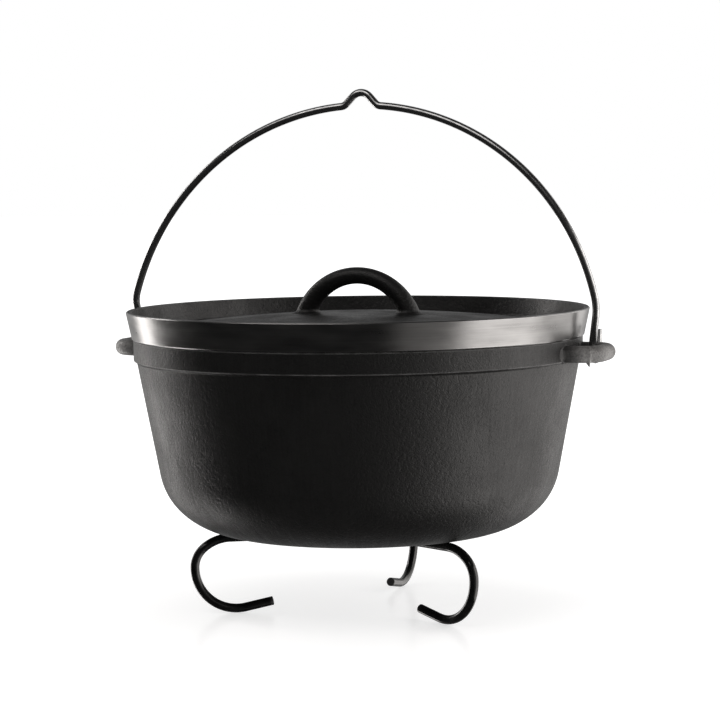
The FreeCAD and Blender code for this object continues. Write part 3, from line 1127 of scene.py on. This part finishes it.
@dataclass
class WireBail:
    """The bail: one wire, an arch with a hump at its crown and a hook at each end."""

    pot: PotCasting
    lid: LidCasting
    hook_clearance: float = 0.8 * MM
    tip_rise: float = 13 * MM
    knee_rise: float = 5 * MM
    knee_r: float = 9 * MM
    lean: float = 4.6
    arch_lead: float = 21.1 * MM
    bend_r: float = 20 * MM
    lid_gap: float = 7.3 * MM
    centre_drop: float = 15.5 * MM
    foot_angle: float = 15.0
    foot_run: float = 9 * MM
    hump_half_w: float = 11.8 * MM
    hump_slope: float = 47.0
    hump_foot_r: float = 6 * MM
    hump_top_r: float = 8 * MM
    steel: DrawnWire = field(default_factory=lambda: DrawnWire("bail_steel"))

    def corners(self) -> tuple[Array, list]:
        """Corners of the wire from hook tip to hook tip, and the bend radius at each.

        The arch is one arc about a centre below the rim, so its corner is where the tangent
        at the crown's shoulder meets the tangent at the foot.

        Returns:
            The corners and the radius of each inner one.
        """
        wire_d, hinge_z, hook_x = self.pot.wire_d, self.pot.hinge_z, self.pot.hook_x
        hook_r = (self.pot.neck_d + wire_d) / 2 + self.hook_clearance
        plane_y, tip_y = (self.pot.loop_half_spacing + s * hook_r for s in (-1, 1))
        arch_y = self.pot.loop_half_spacing - self.arch_lead
        foot_angle = math.radians(self.foot_angle)
        kink_x = self.lid.lid_r + self.lid_gap + wire_d / 2
        down = np.array([math.sin(foot_angle), -math.cos(foot_angle)])
        arch_r = (kink_x - self.foot_run * down[0]) / math.cos(foot_angle)
        centre = np.array([0.0, self.pot.rim_z - self.centre_drop])
        foot = centre + arch_r * np.array([math.cos(foot_angle), math.sin(foot_angle)])
        slope = math.radians(self.hump_slope)
        crown_x = self.hump_half_w + self.hump_foot_r * math.tan(slope / 2)
        crown_angle = math.asin(crown_x / arch_r)
        crown = centre + arch_r * np.array([math.sin(crown_angle), math.cos(crown_angle)])
        shoulder_z = crown[1] + (crown_x - self.hump_half_w) * math.tan(crown_angle)
        along = np.array([math.cos(crown_angle), -math.sin(crown_angle)])
        gap = foot - crown
        share = (gap[0] * down[1] - gap[1] * down[0]) / (along[0] * down[1] - along[1] * down[0])
        in_plane = np.array([
            foot + down * self.foot_run, crown + along * share, [self.hump_half_w, shoulder_z],
            [0.0, shoulder_z + self.hump_half_w * math.tan(slope)]])
        hook = np.array([[hook_x, tip_y, hinge_z + self.tip_rise],
                         [hook_x, tip_y, hinge_z - hook_r],
                         [hook_x, plane_y, hinge_z - hook_r],
                         [hook_x, plane_y, hinge_z + self.knee_rise]])
        rise = np.stack([in_plane[:, 0], np.full(len(in_plane), arch_y), in_plane[:, 1]], -1)
        half = np.concatenate([hook, rise])
        radii = [hook_r, hook_r, self.knee_r, self.bend_r, arch_r, self.hump_foot_r]
        mirrored = half[-2::-1] * np.array([-1.0, 1.0, 1.0])
        return np.concatenate([half, mirrored]), radii + [self.hump_top_r] + radii[::-1]

    def leaned(self, points: Array) -> Array:
        """Turns points back about the hooks' line, by the matrix of a turn about X.

        Args:
            points: Points of the upright bail.

        Returns:
            The same points, turned with the bail.
        """
        pivot = np.array([0.0, self.pot.loop_half_spacing, self.pot.hinge_z])
        c, s = math.cos(math.radians(self.lean)), math.sin(math.radians(self.lean))
        return (points - pivot) @ np.array([[1, 0, 0], [0, c, -s], [0, s, c]]) + pivot

    def wire(self) -> bpy.types.Mesh:
        """Carries the wire's circle along its bends, with a small round on each cut end.

        Returns:
            The smooth-shaded mesh.
        """
        corners, radii = self.corners()
        route = Route.rounded(corners, radii, step=2 * MM, turn_step=0.9)
        path, radius = with_rounded_ends(self.leaned(route.points), self.pot.wire_d / 2,
                                         0.5 * MM)
        return Surface.swept(path, radius, unit(np.array([1.0, 1.0, 0.0])), 40).mesh("bail_wire")

    def build(self) -> None:
        """Makes the wire."""
        add_piece(self.wire(), [self.steel.material()], Body.BAIL, Slot.WIRE, "bail")


@dataclass
class RodTrivet:
    """The trivet: three bent rods that meet at a hub under the pot."""

    pot: PotCasting
    rod_d: float = 6 * MM
    height: float = 54 * MM
    angles: tuple = (90.0, -30.0, -150.0)
    past_flat: float = 5.1 * MM
    shoulder_r: float = 28 * MM
    shoulder_turn: float = 40.0
    knee_r: float = 17 * MM
    foot_slope: float = 11.0
    tip: float = 19 * MM
    hub_r: float = 12 * MM
    cope: float = 1 * MM
    rod: BlackRod = field(default_factory=lambda: BlackRod("trivet_black"))
    weld: WeldScale = field(default_factory=lambda: WeldScale("trivet_weld"))

    def leg_line(self) -> Array:
        """Centreline of a leg in its own (out, up) plane.

        A straight under the pot, then three tangent arcs that turn it down and back in: the
        shoulder, the knee to upright, and the curl that comes down to the floor, and at last
        a short straight tip. Each arc's points are centre + r (cos a, sin a).

        Returns:
            The points, shape (count, 2).
        """
        rod_z = self.height - self.rod_d / 2
        low, _ = self.pot.bowl_corners(0, self.pot.rim_z)
        flat_r = low[0, 0] - self.pot.lower_bend_r * math.tan(
            math.radians(self.pot.lower_turn / 2))
        start_out = self.hub_r - self.cope
        bend_out = flat_r + self.past_flat
        run = np.linspace(start_out, bend_out, 24)[:-1]
        lines = [np.stack([run, np.full(len(run), rod_z)], -1)]

        def arc(centre: Array, radius: float, start: float, end: float) -> Array:
            """Arc points about a centre, angles in degrees.

            Args:
                centre: Centre of the arc.
                radius: Its radius.
                start: Heading of its first point.
                end: Heading of its last point.

            Returns:
                Points of the arc.
            """
            count = max(6, int(abs(start - end) / 3))
            t = np.radians(np.linspace(start, end, count + 1))[:, None]
            return centre + radius * np.concatenate([np.cos(t), np.sin(t)], axis=1)

        turn = 90 - self.shoulder_turn
        shoulder = arc(np.array([bend_out, rod_z - self.shoulder_r]), self.shoulder_r, 90, turn)
        knee = arc(shoulder[-1] - heading(turn) * self.knee_r, self.knee_r, turn, 0)
        curl_r = knee[-1, 1] - self.rod_d / 2
        curl = arc(knee[-1] - np.array([curl_r, 0]), curl_r, 0, -90 - self.foot_slope)
        inward = np.array([-math.cos(math.radians(self.foot_slope)),
                           math.sin(math.radians(self.foot_slope))])
        tip = curl[-1] + inward * np.linspace(0, self.tip, 8)[1:, None]
        return np.concatenate(lines + [shoulder, knee[1:], curl[1:], tip])

    def leg(self, number: int, angle: float) -> bpy.types.Mesh:
        """Carries the rod's circle along one leg, with its cut end rounded.

        Args:
            number: The leg's number, for its name.
            angle: Its direction from +X, in degrees.

        Returns:
            The mesh.
        """
        line = self.leg_line()
        out = heading(angle)
        path = np.stack([line[:, 0] * out[0], line[:, 0] * out[1], line[:, 1]], -1)
        path, radius = with_rounded_ends(path, self.rod_d / 2, 0.6 * MM)
        across = np.array([-out[1], out[0], 0.0])
        surface = Surface.swept(path, radius, across, 40)
        surface.wear = (surface.along > surface.along[-1] - 1 * MM).astype(float)
        return surface.mesh(f"trivet_leg_{number}_rod")

    def build(self) -> None:
        """Makes the legs and dresses the hub and its welds."""
        rod, weld = self.rod.material(), self.weld.material()
        for number, angle in enumerate(self.angles, start=1):
            add_piece(self.leg(number, angle), [rod], Body.TRIVET, Slot.ROD,
                      f"trivet_leg_{number}")
        for name, material in [("trivet_hub", rod)] + [
                (f"trivet_weld_{k}", weld) for k in (1, 2, 3)]:
            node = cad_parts[name]
            node.data.materials.clear()
            node.data.materials.append(material)
            LOG.info("%s: dressed", name)


# ---------------------------------------------------------------- studio


@dataclass(frozen=True)
class Panel:
    """A soft light panel that faces the object, upright or overhead.

    Attributes:
        name: The light's name.
        turn: Direction from the object, in degrees round from the camera's, + to its right.
        rise: Direction's height above level, in degrees.
        distance: Distance from the object's middle.
        size: Width and height.
        power: Power in watts.
    """

    name: str
    turn: float
    rise: float
    distance: float
    size: tuple[float, float]
    power: float


@dataclass
class Studio:
    """Camera, pale floor, light panels and surrounds."""

    azimuth: float = 20.0
    distance: float = 1.61517
    height: float = 0.29781
    pitch: float = 0.0803
    roll: float = 0.0122
    lens: float = 120.58
    sensor: float = 36.0
    shift_x: float = 0.00226
    panels: tuple[Panel, ...] = (
        Panel("panel_right", 77.0, -4.0, 1.7, (1.45, 2.8), 26.0),
        Panel("panel_right_front", 36.0, -4.0, 1.7, (0.95, 2.8), 1.8),
        Panel("panel_right_back", 126.0, -4.0, 1.7, (1.4, 2.8), 12.5),
        Panel("panel_left", -129.0, -4.0, 1.7, (0.42, 2.8), 14.5),
        Panel("panel_top", -42.0, 52.0, 1.8, (1.5, 1.0), 6.5),
    )
    tint: tuple[float, float, float] = (1.0, 0.965, 0.94)
    aim_height: float = 0.15
    floor_half: float = 12.0
    floor_glow: tuple[float, float] = (0.62, 1.0)
    glow_radii: tuple[float, float] = (0.12, 0.55)
    surround: float = 0.32
    back_sheen: float = 0.32
    front_sheen: float = 0.02
    sheen_parts: tuple[float, float] = (0.3, 0.95)

    def towards(self, turn: float) -> Array:
        """Level direction from the object, turned from the camera's to its right."""
        angle = math.radians(self.azimuth + turn)
        return np.array([math.sin(angle), -math.cos(angle), 0.0])

    def camera(self) -> None:
        """Makes the camera from its turn, pitch and roll."""
        back = self.towards(0)
        place = back * self.distance + UP * self.height
        look = -back * math.cos(self.pitch) - UP * math.sin(self.pitch)
        right = np.cross(look, UP)
        right = right / np.linalg.norm(right)
        top = np.cross(right, look)
        tilted = right * math.cos(self.roll) - top * math.sin(self.roll)
        lifted = right * math.sin(self.roll) + top * math.cos(self.roll)
        matrix = Matrix(np.stack([tilted, lifted, -look], axis=1).tolist()).to_4x4()
        matrix.translation = Vector(place)
        data = bpy.data.cameras.new("camera")
        data.sensor_width, data.lens, data.shift_x = self.sensor, self.lens, self.shift_x
        data.clip_end = 100
        camera = bpy.data.objects.new("camera", data)
        camera.matrix_world = matrix
        bpy.context.scene.collection.objects.link(camera)
        bpy.context.scene.camera = camera

    def lights(self) -> None:
        """Makes each panel an area light that faces the object's middle."""
        middle = UP * self.aim_height
        for panel in self.panels:
            rise = math.radians(panel.rise)
            out = self.towards(panel.turn) * math.cos(rise) + UP * math.sin(rise)
            data = bpy.data.lights.new(panel.name, "AREA")
            data.shape, data.energy = "RECTANGLE", panel.power
            data.size, data.size_y = panel.size
            data.color = self.tint
            light = bpy.data.objects.new(panel.name, data)
            light.location = Vector(middle + out * panel.distance)
            light.rotation_euler = Vector(-out).to_track_quat("-Z", "Y").to_euler()
            bpy.context.scene.collection.objects.link(light)

    def floor(self) -> None:
        """Makes the pale floor, with a faint glow so that it stays white; a weaker glow near the
        object paints a faint shade round it.
        """
        half = self.floor_half
        mesh = bpy.data.meshes.new("floor")
        mesh.from_pydata([(-half, -half, 0), (half, -half, 0), (half, half, 0), (-half, half, 0)],
                         [], [(0, 1, 2, 3)])
        floor = bpy.data.objects.new("floor", mesh)
        bpy.context.scene.collection.objects.link(floor)
        material, g = new_material("floor_white")
        # Weaker glow within glow_radii of the axis: a painted shade under and round the object,
        # on top of its real shadows.
        glow = g.ranged(g.place()["radius"], *self.glow_radii, *self.floor_glow)
        finish_with(g, {"Base Color": grey(0.86), "Roughness": 0.2,
                "Specular IOR Level": 0.4, "Emission Color": grey(1.0),
                        "Emission Strength": glow})
        mesh.materials.append(material)
        floor.visible_glossy = False
        floor.visible_shadow = False

    def surrounds(self) -> None:
        """White to the camera, soft to matt surfaces, and bright only far behind to shiny ones.

        The sheen is low + (high - low) s, where s rises smoothly with the direction's part
        away from the camera.
        """
        world = bpy.data.worlds.new("studio")
        world.use_nodes = True
        bpy.context.scene.world = world
        g = NodeGraph(world.node_tree)
        away = -self.towards(0)
        direction = g.add("ShaderNodeTexCoord").outputs["Generated"]
        part = g.add("ShaderNodeVectorMath", {0: direction, 1: tuple(away)},
                     operation="DOT_PRODUCT").outputs["Value"]
        sheen = g.ranged(part, *self.sheen_parts, self.front_sheen, self.back_sheen)
        path = g.add("ShaderNodeLightPath").outputs
        level = g.calc("ADD", g.calc("MULTIPLY", path["Is Diffuse Ray"], self.surround),
                       g.calc("MULTIPLY", path["Is Glossy Ray"], sheen))
        level = g.calc("ADD", level, path["Is Camera Ray"])
        background = g.add("ShaderNodeBackground", {"Color": (1, 1, 1, 1), "Strength": level})
        g.add("ShaderNodeOutputWorld", {"Surface": background.outputs[0]})
        bpy.context.scene.view_settings.view_transform = "Standard"

    def build(self) -> None:
        """Sets the whole studio up."""
        self.camera()
        self.lights()
        self.floor()
        self.surrounds()


def main() -> None:
    """Builds the camp oven on its frame, then the studio."""
    logging.basicConfig(level=logging.INFO, format="%(name)s: %(message)s")
    pot = PotCasting()
    lid = LidCasting(pot)
    for assembly in (pot, lid, WireBail(pot, lid), RodTrivet(pot), Studio()):
        assembly.build()


if __name__ == "__main__":
    main()
